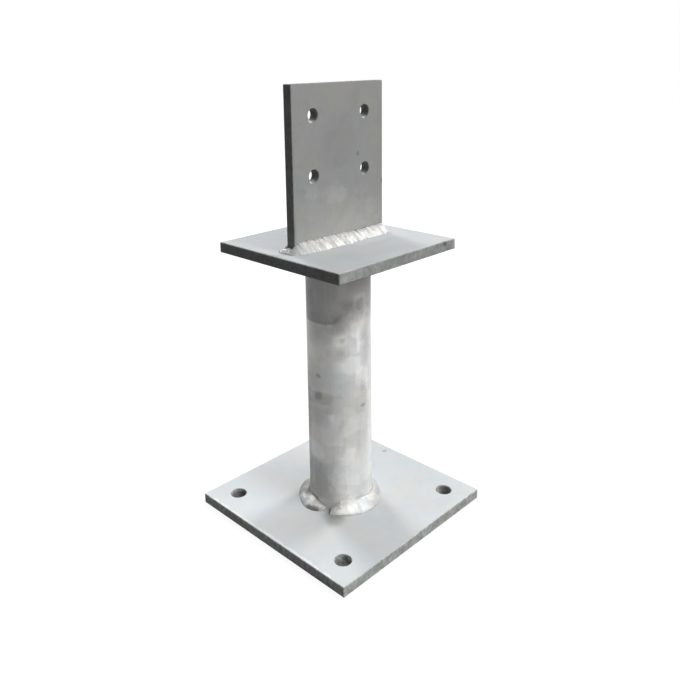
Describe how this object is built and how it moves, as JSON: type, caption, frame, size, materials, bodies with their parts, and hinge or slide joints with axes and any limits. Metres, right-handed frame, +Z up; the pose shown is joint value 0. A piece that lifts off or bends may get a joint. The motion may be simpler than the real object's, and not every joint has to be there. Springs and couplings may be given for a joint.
{
  "type": "timber post base",
  "caption": "Welded bolt-down steel base that lifts a timber post off its footing: base plate, stem tube, bearing plate and drilled blade.",
  "frame": {"origin": "bottom centre of the base plate, on the footing", "axes": "+Z up, +X along the blade's width, -Y out of the blade's front face"},
  "size_m": [0.2, 0.2, 0.428],
  "materials": {
    "zinc_plate": "hot-dip galvanised, satin, faintly mottled",
    "zinc_blade": "hot-dip galvanised, satin, faintly blotched",
    "zinc_tube": "hot-dip galvanised, mottled in patches",
    "zinc_weld": "galvanised weld metal, smooth and bright"
  },
  "bodies": {
    "root": {"base_plate": "zinc_plate", "stem_tube": "zinc_tube", "bearing_plate": "zinc_plate", "blade": "zinc_blade", "foot_weld_left": "zinc_weld", "foot_weld_right": "zinc_weld", "head_weld_front": "zinc_weld", "head_weld_rear": "zinc_weld", "blade_weld_front_first": "zinc_weld", "blade_weld_front_second": "zinc_weld", "blade_weld_rear": "zinc_weld", "blade_weld_left_end": "zinc_weld", "blade_weld_right_end": "zinc_weld"}
  },
  "joints": []
}
